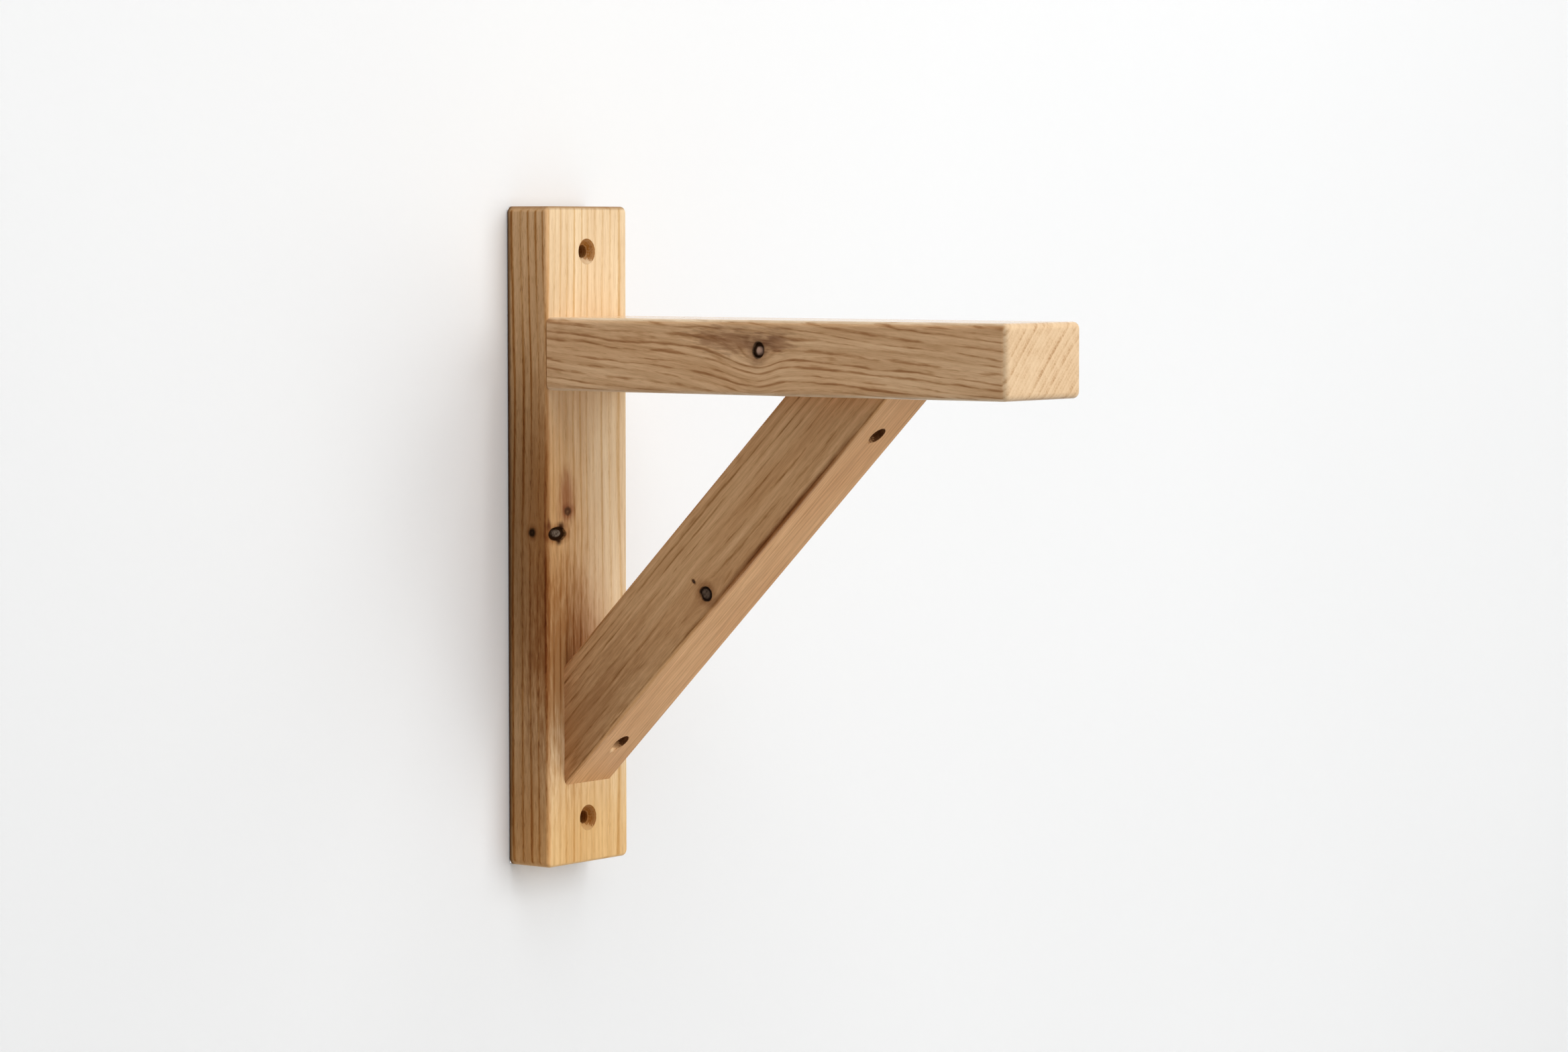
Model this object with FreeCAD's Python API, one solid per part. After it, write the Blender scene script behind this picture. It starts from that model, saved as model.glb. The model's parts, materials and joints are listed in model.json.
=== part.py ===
import FreeCAD, Part
import math
import os

# A wooden shelf bracket: a plate that lies against the wall, an arm that carries the shelf,
# and a brace mitred between them, held together by four countersunk wood screws.
# Millimetres. X runs along the wall, +Y goes into the wall and +Z is up.
# The origin is the centre of the plate's back face.

# Plate
plate_height = 300.0
plate_width = 58.0
plate_thickness = 23.0

# Arm, butted square against the front of the plate
arm_length = 250.0
arm_height = 33.0
arm_side_inset = 0.25
arm_drop = 50.0

# Brace, cut at both ends to lie flat on the plate and under the arm
brace_width = 34.0
brace_depth = 39.0
brace_foot_rise = 37.0
brace_angle = 45.0

# Rounding of the long edges and ends
arris_radius = 3.0
brace_arris_radius = 2.0

# Countersunk holes for the wall screws, which are not part of the bracket
wall_hole_diameter = 6.0
wall_sink_diameter = 12.0
wall_hole_end_distance = 20.5

# Screws that hold the arm, driven from the plate's back
arm_screw_diameter = 5.0
arm_screw_length = 70.0
arm_screw_head_diameter = 10.0
arm_screw_spacing = 28.0
arm_screw_depth = 0.5

# Screws that hold the brace, driven square to its outer face
brace_screw_diameter = 4.0
brace_screw_length = 45.0
brace_screw_head_diameter = 8.0
brace_screw_depth = 5.0
lower_screw_setback = 27.0
upper_screw_setback = 24.5
pocket_mouth_chamfer = 0.4

# What every screw has
head_rim = 0.5
core_share = 0.7
plain_shank_share = 0.35
tip_taper = 1.6
recess_share = 0.55
recess_slot_share = 0.13
recess_depth_share = 0.28

# Fits
screw_clearance = 0.1
head_clearance = 0.2
seat_gap = 0.05
tip_room = 1.0

# Overshoot of a cutting shape past the face that it opens
past = 1.0

# Largest share of a piece's thinnest side that its rounding may take
ease_limit = 0.45

# How near two places or directions count as the same
near = 0.001

# Places that follow from the sizes above
plate_front_y = -plate_thickness
plate_bottom_z = -plate_height / 2
plate_top_z = plate_height / 2
arm_top_z = plate_top_z - arm_drop
arm_bottom_z = arm_top_z - arm_height
arm_width = plate_width - 2 * arm_side_inset
lean = math.radians(brace_angle)
foot_z = plate_bottom_z + brace_foot_rise
brace_rise = arm_bottom_z - foot_z
brace_reach = brace_rise * math.tan(lean)


def vec(x, y, z):
    return FreeCAD.Vector(x, y, z)


def eased(shape, radius, edges):
    """Rounds the given edges, with a radius that the shape's thinnest wall can take."""
    box = shape.BoundBox
    limit = ease_limit * min(box.XLength, box.YLength, box.ZLength)
    return shape.makeFillet(min(radius, limit), edges)


def set_on(shape, mouth, outward):
    """Turns a shape made along +Z so that it points outward, with its top at the mouth."""
    placed = shape.copy()
    placed.Placement = FreeCAD.Placement(mouth, FreeCAD.Rotation(vec(0, 0, 1), outward))
    return placed


def turned(points):
    """A solid of revolution about Z from the half section (radius, height)."""
    outline = [vec(radius, 0, height) for radius, height in points]
    wire = Part.makePolygon(outline + [outline[0]])
    return Part.Face(wire).revolve(vec(0, 0, 0), vec(0, 0, 1), 360)


def cross_recess(head_diameter):
    """The cross in a screw's head: two crossed wedges, narrower towards their bottom."""
    top = head_diameter * recess_share / 2
    bottom = top / 2
    depth = head_diameter * recess_depth_share
    half_slot = head_diameter * recess_slot_share / 2
    outline = [vec(-top, -half_slot, past), vec(-top, -half_slot, 0), vec(-bottom, -half_slot, -depth),
               vec(bottom, -half_slot, -depth), vec(top, -half_slot, 0), vec(top, -half_slot, past)]
    wing = Part.Face(Part.makePolygon(outline + [outline[0]])).extrude(vec(0, 2 * half_slot, 0))
    other = wing.copy()
    other.rotate(vec(0, 0, 0), vec(0, 0, 1), 90)
    return wing.fuse(other).removeSplitter()


def wood_screw(diameter, length, head_diameter):
    """A countersunk screw with its head's top at the origin and its point down."""
    head = head_diameter / 2
    core = diameter * core_share / 2
    thread = diameter / 2
    under_head = head_rim + head - core
    thread_start = max(length * plain_shank_share, under_head + thread)
    tip_start = length - diameter * tip_taper
    body = turned([
        (0, 0), (head, 0), (head, -head_rim), (core, -under_head), (core, -thread_start),
        (thread, -thread_start - (thread - core)), (thread, -tip_start), (0, -length)])
    return body.cut(cross_recess(head_diameter))


def screw_pocket(diameter, length, head_diameter, depth, chamfer):
    """The drilled shape that takes a screw: a pocket, a conical seat and a hole for the shank."""
    pocket = head_diameter / 2 + head_clearance
    hole = diameter / 2 + screw_clearance
    seat_top = -depth - head_rim - seat_gap
    seat_bottom = seat_top - (pocket - hole)
    return turned([
        (0, past), (pocket + chamfer + past, past), (pocket + chamfer, 0), (pocket, -chamfer),
        (pocket, seat_top), (hole, seat_bottom), (hole, -depth - length - tip_room),
        (0, -depth - length - tip_room - hole)])


def wall_hole():
    """A clearance hole with a right-angled countersink, made along +Z from its mouth."""
    sink = wall_sink_diameter / 2
    hole = wall_hole_diameter / 2
    return turned([
        (0, past), (sink + past, past), (hole, hole - sink), (hole, -plate_thickness - past),
        (0, -plate_thickness - past)])


def arm_screw_places():
    """The mouths of the arm's two screw holes, on the plate's back face."""
    middle = (arm_top_z + arm_bottom_z) / 2
    return [vec(side * arm_screw_spacing / 2, 0, middle) for side in (-1, 1)]


def brace_out():
    """The direction square to the brace's outer face, away from the wall and down."""
    return vec(0, -math.cos(lean), -math.sin(lean))


def brace_screw_place(setback, from_foot):
    """A pocket's mouth, at a distance along the outer face from the foot's or the head's tip."""
    along = vec(0, -math.sin(lean), math.cos(lean))
    if from_foot:
        return vec(0, plate_front_y, foot_z) + along * setback
    return vec(0, plate_front_y - brace_reach, arm_bottom_z) - along * setback


def arm_pocket():
    return screw_pocket(arm_screw_diameter, arm_screw_length, arm_screw_head_diameter, arm_screw_depth, 0)


def brace_pocket():
    return screw_pocket(brace_screw_diameter, brace_screw_length, brace_screw_head_diameter,
                        brace_screw_depth, pocket_mouth_chamfer)


def arm_screw_holes():
    return [set_on(arm_pocket(), place, vec(0, 1, 0)) for place in arm_screw_places()]


def lower_brace_hole():
    return set_on(brace_pocket(), brace_screw_place(lower_screw_setback, True), brace_out())


def upper_brace_hole():
    return set_on(brace_pocket(), brace_screw_place(upper_screw_setback, False), brace_out())


def back_plate():
    """The wall plate: eased all round, two wall holes in front, screw holes from behind."""
    board = Part.makeBox(plate_width, plate_thickness, plate_height,
                         vec(-plate_width / 2, plate_front_y, plate_bottom_z))
    board = eased(board, arris_radius, board.Edges)
    for end in (-1, 1):
        height = end * (plate_height / 2 - wall_hole_end_distance)
        board = board.cut(set_on(wall_hole(), vec(0, plate_front_y, height), vec(0, -1, 0)))
    for hole in arm_screw_holes():
        board = board.cut(hole)
    return board.cut(lower_brace_hole())


def arm():
    """The arm: eased along its length and round its free end, cut square where it meets the plate."""
    bar = Part.makeBox(arm_width, arm_length, arm_height,
                       vec(-arm_width / 2, plate_front_y - arm_length, arm_bottom_z))
    free_edges = [edge for edge in bar.Edges if edge.CenterOfMass.y < plate_front_y - near]
    bar = eased(bar, arris_radius, free_edges)
    for hole in arm_screw_holes():
        bar = bar.cut(hole)
    return bar.cut(upper_brace_hole())


def brace():
    """The brace: a bar at an angle, mitred flat to the plate and to the arm's underside."""
    side = -brace_width / 2
    foot_face = brace_depth / math.sin(lean)
    head_face = brace_depth / math.cos(lean)
    corners = [
        vec(side, plate_front_y, foot_z),
        vec(side, plate_front_y - brace_reach, arm_bottom_z),
        vec(side, plate_front_y - brace_reach + head_face, arm_bottom_z),
        vec(side, plate_front_y, foot_z + foot_face)]
    bar = Part.Face(Part.makePolygon(corners + [corners[0]])).extrude(vec(brace_width, 0, 0))
    along = vec(0, -math.sin(lean), math.cos(lean))
    long_edges = [edge for edge in bar.Edges if abs(edge.tangentAt(0).dot(along)) > 1 - near]
    bar = eased(bar, brace_arris_radius, long_edges)
    return bar.cut(lower_brace_hole()).cut(upper_brace_hole())


def arm_screw(place):
    screw = wood_screw(arm_screw_diameter, arm_screw_length, arm_screw_head_diameter)
    return set_on(screw, place - vec(0, arm_screw_depth, 0), vec(0, 1, 0))


def brace_screw(place):
    screw = wood_screw(brace_screw_diameter, brace_screw_length, brace_screw_head_diameter)
    return set_on(screw, place - brace_out() * brace_screw_depth, brace_out())


def bracket():
    """Every piece of the bracket by name."""
    left, right = arm_screw_places()
    return {
        "back_plate": back_plate(),
        "arm": arm(),
        "brace": brace(),
        "arm_screw_left": arm_screw(left),
        "arm_screw_right": arm_screw(right),
        "brace_screw_lower": brace_screw(brace_screw_place(lower_screw_setback, True)),
        "brace_screw_upper": brace_screw(brace_screw_place(upper_screw_setback, False)),
    }


os.makedirs("parts", exist_ok=True)
for name, piece in bracket().items():
    piece.exportStep("parts/" + name + ".step")
    print(name, "valid", piece.isValid(), "solids", len(piece.Solids), "volume", round(piece.Volume, 1))
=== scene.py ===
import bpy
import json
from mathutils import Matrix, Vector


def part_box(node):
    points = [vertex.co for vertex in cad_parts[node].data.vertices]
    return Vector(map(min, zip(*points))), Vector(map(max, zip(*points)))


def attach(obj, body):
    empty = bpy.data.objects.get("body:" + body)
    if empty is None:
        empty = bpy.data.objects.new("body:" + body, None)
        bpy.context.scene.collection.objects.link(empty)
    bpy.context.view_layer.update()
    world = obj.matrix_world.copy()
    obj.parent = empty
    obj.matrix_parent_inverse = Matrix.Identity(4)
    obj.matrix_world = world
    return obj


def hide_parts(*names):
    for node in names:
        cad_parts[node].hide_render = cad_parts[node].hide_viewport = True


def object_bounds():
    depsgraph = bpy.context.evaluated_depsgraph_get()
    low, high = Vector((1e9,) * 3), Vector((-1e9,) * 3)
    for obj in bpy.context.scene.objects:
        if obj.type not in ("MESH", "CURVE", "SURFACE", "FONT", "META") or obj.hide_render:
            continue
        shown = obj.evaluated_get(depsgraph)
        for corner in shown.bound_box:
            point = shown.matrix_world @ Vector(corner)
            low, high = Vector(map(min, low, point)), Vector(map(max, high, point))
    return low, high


bl_info = {
    "name": "Oak Shelf Bracket",
    "version": (1, 0, 0),
    "blender": (4, 5, 0),
    "location": "3D View > Sidebar > Bracket",
    "description": "Dresses the packed shelf bracket: solid oak timbers with knots, and zinc plated screws",
    "category": "Object",
}

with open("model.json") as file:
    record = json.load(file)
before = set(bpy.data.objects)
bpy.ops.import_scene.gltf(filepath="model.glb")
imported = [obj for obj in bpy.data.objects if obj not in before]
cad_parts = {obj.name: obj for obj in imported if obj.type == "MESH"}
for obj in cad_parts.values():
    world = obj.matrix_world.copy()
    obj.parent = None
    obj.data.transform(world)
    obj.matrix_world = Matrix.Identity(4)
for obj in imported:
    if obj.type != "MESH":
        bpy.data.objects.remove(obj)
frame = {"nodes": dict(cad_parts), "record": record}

import json
import math

import bmesh
import bpy
from bpy.props import FloatProperty, FloatVectorProperty, PointerProperty
from bpy.types import Operator, Panel, PropertyGroup
from mathutils import Matrix, Vector, noise

# The whole CAD bracket's box, before anything is dressed
cad_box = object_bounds()

MM = 0.001
ROOT = "root"

# Boxes of the timbers, which place everything that follows
plate_low, plate_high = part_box("back_plate")
arm_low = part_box("arm")[0]
brace_low, brace_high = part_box("brace")

# The brace leans from its foot on the plate out to its head under the arm
brace_reach = brace_high.y - brace_low.y
brace_rise = brace_high.z - brace_low.z
brace_lean = math.atan2(brace_reach, brace_rise)
brace_along = Vector((0, -math.sin(brace_lean), math.cos(brace_lean)))
brace_outward = Vector((0, -math.cos(brace_lean), -math.sin(brace_lean)))
brace_foot = Vector((0, brace_high.y, brace_low.z))

# Positions of a colour Mix node's sockets
MIX_A = 6
MIX_B = 7
MIX_RESULT = 2

# Edges sharper than these stay sharp when a mesh is shaded smooth
SOFT_CREASE = math.radians(35)
METAL_CREASE = math.radians(40)

# Points nearer than this are one point, and faces that turn less than this are one face
SAME_POINT = 0.002 * MM
SAME_FACE = math.radians(0.05)

# Where a knot's black ring starts, as a share of the way from its middle to its rim
RING_START = 0.66

# Light-path rays that see the backdrop and the room as pale, whatever light these give
SEEING_RAYS = ("Is Camera Ray", "Is Glossy Ray", "Is Transmission Ray")


# Sizes and colours that a user may change

def colour_setting(name, description, default):
    return FloatVectorProperty(name=name, description=description, subtype="COLOR", size=3,
                               min=0, max=1, default=default)


def number_setting(name, description, low, high, default, **kind):
    return FloatProperty(name=name, description=description, min=low, max=high, default=default,
                         **kind)


def length_setting(name, description, low, high, default):
    """A length whose limits and default are given in millimetres."""
    return number_setting(name, description, low * MM, high * MM, default * MM, unit="LENGTH", precision=4)


class OakSettings(PropertyGroup):
    """What all three timbers share."""

    knot_black: colour_setting("Knot ring", "Colour of the dead bark round a knot", (0.028, 0.010, 0.002))
    knot_heart: colour_setting("Knot heart", "Colour of the wood inside a knot", (0.26, 0.21, 0.16))
    pore: colour_setting("Pores", "Colour down in the open pores", (0.12, 0.050, 0.018))
    pit_depth: length_setting(
        "Knot depth", "How deep the dead bark has fallen out round a knot", 0, 3, 0.9)


class PlateSettings(PropertyGroup):
    """The wall plate's own wood."""

    pale: colour_setting("Pale wood", "Colour between the rings", (0.93, 0.725, 0.475))
    deep: colour_setting("Ring", "Colour of the open-pored start of each ring", (0.60, 0.34, 0.13))
    ring: length_setting("Ring width", "Width of one year's growth", 0.5, 10, 3.0)
    knot: length_setting("Knot width", "Width of the black knot on the front", 1, 20, 12.4)
    gloss: number_setting("Gloss", "Specular level of the bare wood", 0, 1, 0.06)
    front_arris: length_setting("Front arris", "Rounding of the front edges", 0.1, 3, 1.6)
    back_arris: length_setting("Back arris", "Rounding of the edges at the wall", 0.1, 3, 0.7)


class ArmSettings(PropertyGroup):
    """The arm's own wood."""

    pale: colour_setting("Pale wood", "Colour between the rings", (0.955, 0.614, 0.342))
    deep: colour_setting("Ring", "Colour of the open-pored start of each ring", (0.40, 0.170, 0.062))
    ring: length_setting("Ring width", "Width of one year's growth", 0.5, 10, 2.15)
    knot: length_setting("Knot height", "Height of the dark knot on the side", 1, 20, 7.6)
    gloss: number_setting("Gloss", "Specular level of the bare wood", 0, 1, 0.08)


class BraceSettings(PropertyGroup):
    """The brace's own wood."""

    pale: colour_setting("Pale wood", "Colour between the rings", (0.83, 0.490, 0.245))
    deep: colour_setting("Ring", "Colour of the open-pored start of each ring", (0.34, 0.145, 0.045))
    ring: length_setting("Ring width", "Width of one year's growth", 0.5, 10, 2.2)
    knot: length_setting(
        "Knot width", "Width of the knot on the side, across the grain", 1, 20, 7.4)
    gloss: number_setting("Gloss", "Specular level of the bare wood", 0, 1, 0.07)


class ScrewSettings(PropertyGroup):
    """The wood screws that hold the timbers together."""

    arm_thread: length_setting(
        "Arm screw", "Thread diameter of the two screws in the arm", 2, 10, 5)
    brace_thread: length_setting(
        "Brace screw", "Thread diameter of the two screws in the brace", 2, 10, 4)
    zinc: colour_setting("Zinc", "Colour of the plating", (0.66, 0.65, 0.62))


class StageSettings(PropertyGroup):
    """The pale studio round the bracket, its lights and its camera."""

    wall: colour_setting("Wall and floor", "Colour of the backdrop", (0.965, 0.970, 0.975))
    ambient: number_setting("Ambient light", "Strength of the light from all round", 0, 2, 0.30)
    key: number_setting(
        "Key light", "Power of the soft lamp in front, and of the one behind the wall", 0, 500, 43.5,
        unit="POWER")
    key_side: number_setting(
        "Key side", "How far to the right of straight ahead the front lamp stands", -1.5, 1.5,
        math.radians(17), subtype="ANGLE")
    key_height: number_setting(
        "Key height", "How far above level the front lamp stands", -1.5, 1.5, math.radians(14),
        subtype="ANGLE")
    top: number_setting("Top light", "Power of the soft lamp up to the left", 0, 500, 31.0, unit="POWER")
    lamp_size: number_setting("Lamp size", "Side of each square soft lamp", 0.05, 5, 2.4, unit="LENGTH")
    lamp_distance: number_setting(
        "Lamp distance", "How far each lamp stands from the bracket", 0.5, 10, 2.6, unit="LENGTH")
    floor_drop: number_setting(
        "Floor", "How far the floor lies below the middle of the plate", 0.2, 3, 0.75,
        unit="LENGTH")
    lens: number_setting("Lens", "Focal length of the camera", 10, 500, 107.37, unit="CAMERA")


class BracketSettings(PropertyGroup):
    """Every group of settings of the bracket."""

    oak: PointerProperty(type=OakSettings)
    plate: PointerProperty(type=PlateSettings)
    arm: PointerProperty(type=ArmSettings)
    brace: PointerProperty(type=BraceSettings)
    screws: PointerProperty(type=ScrewSettings)
    stage: PointerProperty(type=StageSettings)


# Node trees

class Net:
    """Builds a node tree call by call; each call gives back the socket that the next one reads."""

    spacing = 190
    row_length = 12

    def __init__(self, tree):
        self.tree = tree

    def node(self, kind, **settings):
        made = self.tree.nodes.new(kind)
        for name, value in settings.items():
            setattr(made, name, value)
        row, column = divmod(len(self.tree.nodes), self.row_length)
        made.location = (column * self.spacing, -row * self.spacing)
        return made

    def feed(self, socket, value):
        """Links a socket to another, or sets it to a plain value."""
        if isinstance(value, bpy.types.NodeSocket):
            self.tree.links.new(value, socket)
        else:
            socket.default_value = value

    def math(self, operation, *values, clamp=False):
        made = self.node("ShaderNodeMath", operation=operation, use_clamp=clamp)
        for socket, value in zip(made.inputs, values):
            self.feed(socket, value)
        return made.outputs[0]

    def vector(self, operation, *values):
        made = self.node("ShaderNodeVectorMath", operation=operation)
        for socket, value in zip(made.inputs, values):
            self.feed(socket, value)
        single = operation in ("DOT_PRODUCT", "LENGTH", "DISTANCE")
        return made.outputs["Value" if single else "Vector"]

    def times(self, vector, factor):
        """A vector times a single value."""
        made = self.node("ShaderNodeVectorMath", operation="SCALE")
        self.feed(made.inputs["Vector"], vector)
        self.feed(made.inputs["Scale"], factor)
        return made.outputs["Vector"]

    def parts(self, vector):
        made = self.node("ShaderNodeSeparateXYZ")
        self.feed(made.inputs[0], vector)
        return made.outputs[0], made.outputs[1], made.outputs[2]

    def product(self, first, *rest):
        """All the values multiplied together."""
        for value in rest:
            first = self.math("MULTIPLY", first, value)
        return first

    def random(self, value):
        """A number from 0 to 1 that is another for each whole number given."""
        made = self.node("ShaderNodeTexWhiteNoise", noise_dimensions="1D")
        self.feed(made.inputs["W"], value)
        return made.outputs["Value"]

    def seen(self):
        """1 where a ray shows the surface itself, and 0 where it only carries its light."""
        path = self.node("ShaderNodeLightPath")
        first, *rest = [path.outputs[name] for name in SEEING_RAYS]
        for ray in rest:
            first = self.math("MAXIMUM", first, ray)
        return first

    def joined(self, x, y, z):
        made = self.node("ShaderNodeCombineXYZ")
        for socket, value in zip(made.inputs, (x, y, z)):
            self.feed(socket, value)
        return made.outputs[0]

    def powered(self, tint, share):
        """A tint at a share of its strength, as a thinner layer of the same stain would have."""
        return self.joined(*[self.math("POWER", part, share) for part in self.parts(tint)])

    def ease(self, value, low, high, start=0.0, end=1.0):
        """Goes smoothly from start to end while the value goes from low to high."""
        made = self.node("ShaderNodeMapRange", interpolation_type="SMOOTHSTEP")
        for name, given in (("Value", value), ("From Min", low), ("From Max", high),
                            ("To Min", start), ("To Max", end)):
            self.feed(made.inputs[name], given)
        return made.outputs["Result"]

    def mix(self, share, first, second, blend="MIX"):
        made = self.node("ShaderNodeMix", data_type="RGBA", blend_type=blend)
        self.feed(made.inputs[0], share)
        self.feed(made.inputs[MIX_A], first)
        self.feed(made.inputs[MIX_B], second)
        return made.outputs[MIX_RESULT]

    def noise(self, vector, stretch, detail=2.0, roughness=0.5, distortion=0.0):
        """Smooth noise from 0 to 1 that repeats about once in each length of stretch."""
        scaled = self.vector("DIVIDE", vector, stretch)
        made = self.node("ShaderNodeTexNoise")
        self.feed(made.inputs["Vector"], scaled)
        self.feed(made.inputs["Scale"], 1.0)
        self.feed(made.inputs["Detail"], detail)
        self.feed(made.inputs["Roughness"], roughness)
        self.feed(made.inputs["Distortion"], distortion)
        return made.outputs[0]

    def group(self, tree, **given):
        """Places a node group; a name's underscores stand for spaces."""
        made = self.node("ShaderNodeGroup", node_tree=tree)
        for name, value in given.items():
            self.feed(made.inputs[name.replace("_", " ")], value)
        return made.outputs


def new_group(name, inputs, outputs):
    """An empty node group with named sockets: its net, its input sockets and its output sockets."""
    tree = bpy.data.node_groups.new(name, "ShaderNodeTree")
    for label, kind, default in inputs:
        socket = tree.interface.new_socket(name=label, in_out="INPUT", socket_type="NodeSocket" + kind)
        socket.default_value = default
    for label, kind in outputs:
        tree.interface.new_socket(name=label, in_out="OUTPUT", socket_type="NodeSocket" + kind)
    net = Net(tree)
    given = net.node("NodeGroupInput").outputs
    made = net.node("NodeGroupOutput").inputs
    return net, given, made


def opaque(colour):
    return (*colour, 1.0)


def knot_flow_group():
    """Bends the grain round a knot, and tells how far each place is from the knot's rim. Lengths are
    in millimetres, with Z along the grain."""
    net, given, made = new_group("Grain round a knot", [
        ("Place", "Vector", (0, 0, 0)),
        ("Bent", "Vector", (0, 0, 0)),
        ("Centre", "Vector", (0, 0, 0)),
        ("Across", "Vector", (1, 0, 0)),
        ("Half across", "Float", 3.0),
        ("Half along", "Float", 3.0),
        ("Dip", "Float", 0.0),
        ("Reach before", "Float", 12.0),
        ("Reach after", "Float", 12.0),
        ("Depth", "Float", 15.0),
        ("Lopsided", "Vector", (0, 0, 0)),
        ("Trail", "Vector", (2.5, 14, 1)),
        ("Trail rise", "Float", 0.0),
        ("Parting", "Float", 0.75),
    ], [("Bent", "Vector"), ("Distance", "Float"), ("Heart distance", "Float"), ("Trail", "Float"),
        ("Calm", "Float")])
    offset = net.vector("SUBTRACT", given["Place"], given["Centre"])
    inward_axis = net.vector("CROSS_PRODUCT", given["Across"], (0, 0, 1))
    across = net.vector("DOT_PRODUCT", offset, given["Across"])
    along = net.parts(offset)[2]
    inward = net.vector("DOT_PRODUCT", offset, inward_axis)
    across_share = net.math("DIVIDE", across, given["Half across"])
    along_share = net.math("DIVIDE", along, given["Half along"])
    depth_share = net.math("DIVIDE", inward, given["Depth"])
    near_face = net.math("EXPONENT", net.product(depth_share, depth_share, -1.0))

    # The grain parts round the knot, further along the grain than across it
    long_share = net.math("MULTIPLY", along_share, 0.5)
    spread = net.vector("LENGTH", net.joined(across_share, long_share, 0.0))
    squared = net.math("MAXIMUM", net.math("MULTIPLY", spread, spread), 1.0)
    parting = net.math("MULTIPLY", net.math("DIVIDE", across, squared), given["Parting"])

    # It also dips to one side, over some way before the knot and some way after it
    reach = net.ease(along, -4.0, 4.0, given["Reach before"], given["Reach after"])
    dip_share = net.math("DIVIDE", along, reach)
    tail = net.math("MULTIPLY_ADD", dip_share, dip_share, 1.0)
    below_knot = net.ease(across, 9.0, -5.0)
    dip = net.math("MULTIPLY", net.math("DIVIDE", given["Dip"], tail), below_knot)
    push = net.math("MULTIPLY", net.math("SUBTRACT", dip, parting), near_face)
    net.feed(made["Bent"], net.vector("ADD", given["Bent"], net.times(given["Across"], push)))

    # Distance is 1 on a slightly uneven rim
    uneven = net.ease(net.noise(offset, (3.0, 3.0, 3.0), detail=2), 0.2, 0.8, 0.94, 1.08)
    shape = net.joined(across_share, along_share, 0.0)
    distance = net.math("MULTIPLY", net.vector("LENGTH", shape), uneven)
    far = net.ease(net.math("ABSOLUTE", depth_share), 0.3, 0.8, 0.0, 6.0)
    net.feed(made["Distance"], net.math("ADD", distance, far))
    shift = net.vector("DOT_PRODUCT", shape, given["Lopsided"])
    net.feed(made["Heart distance"], net.math("ADD", net.math("ADD", distance, far), shift))

    # The fibres that run into the knot carry its colour along with them, level or in a V
    rise = net.math("MULTIPLY", net.math("ABSOLUTE", along), given["Trail rise"])
    level = net.math("SUBTRACT", across, rise)
    width, length, whole = net.parts(given["Trail"])
    sideways = net.math("DIVIDE", level, width)
    lengthways = net.math("DIVIDE", along, length)
    spent = net.math("MULTIPLY_ADD", sideways, sideways, net.math("MULTIPLY", lengthways, lengthways))
    trail = net.math("MULTIPLY", net.math("EXPONENT", net.math("MULTIPLY", spent, -1.0)), near_face)
    net.feed(made["Trail"], net.math("MULTIPLY", trail, whole))
    shorter = net.math("MULTIPLY", along_share, 0.65)
    nearness = net.vector("LENGTH", net.joined(across_share, shorter, 0.0))
    calm = net.math("MULTIPLY", net.ease(nearness, 2.4, 0.8, 0.0, 0.8), near_face)
    net.feed(made["Calm"], net.math("SUBTRACT", 1.0, calm))
    return net.tree


def knot_paint_group():
    """Colours a knot: a halo in the wood round it, a black ring and a paler heart."""
    net, given, made = new_group("Knot paint", [
        ("Colour", "Color", (1, 1, 1, 1)),
        ("Height", "Float", 0.0),
        ("Roughness", "Float", 0.5),
        ("Place", "Vector", (0, 0, 0)),
        ("Distance", "Float", 9.0),
        ("Heart distance", "Float", 9.0),
        ("Trail", "Float", 0.0),
        ("Ring colour", "Color", (0, 0, 0, 1)),
        ("Heart colour", "Color", (0.2, 0.2, 0.2, 1)),
        ("Halo colour", "Color", (0.5, 0.4, 0.3, 1)),
        ("Halo reach", "Float", 3.0),
        ("Ring start", "Float", 0.62),
        ("Blur", "Float", 0.08),
        ("Fleck", "Float", 0.7),
    ], [("Colour", "Color"), ("Height", "Float"), ("Roughness", "Float")])
    mottle = net.noise(given["Place"], (1.6, 1.6, 3.2), detail=3)
    patchy = net.ease(mottle, 0.25, 0.75, 0.55, 1.0)
    halo = net.math("MULTIPLY", net.ease(given["Distance"], given["Halo reach"], 0.9), patchy)
    halo = net.math("MAXIMUM", halo, net.math("MULTIPLY", given["Trail"], patchy))
    shaded = net.mix(halo, given["Colour"], given["Halo colour"], "MULTIPLY")

    # Distance is 1 on the rim: the black ring lies inside it, and the heart inside the ring
    outer = net.math("ADD", given["Blur"], 1.0)
    inner = net.math("SUBTRACT", 1.0, given["Blur"])
    ring = net.ease(given["Distance"], outer, inner)
    heart_edge = net.math("SUBTRACT", given["Ring start"], net.math("MULTIPLY", given["Blur"], 2.2))
    heart = net.ease(given["Heart distance"], given["Ring start"], heart_edge)
    fleck = net.noise(given["Place"], (1.7, 1.7, 2.1), detail=3, roughness=0.55)
    flecked = net.ease(fleck, 0.44, 0.66, 0.0, given["Fleck"])
    speckled = net.mix(flecked, given["Heart colour"], given["Ring colour"])
    ringed = net.mix(ring, shaded, given["Ring colour"])
    net.feed(made["Colour"], net.mix(heart, ringed, speckled))
    fallen = net.math("MULTIPLY", net.math("SUBTRACT", ring, heart, clamp=True), -0.1)
    net.feed(made["Height"], net.math("ADD", given["Height"], fallen))
    net.feed(made["Roughness"], net.ease(ring, 0.0, 1.0, given["Roughness"], 0.85))
    return net.tree


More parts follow.
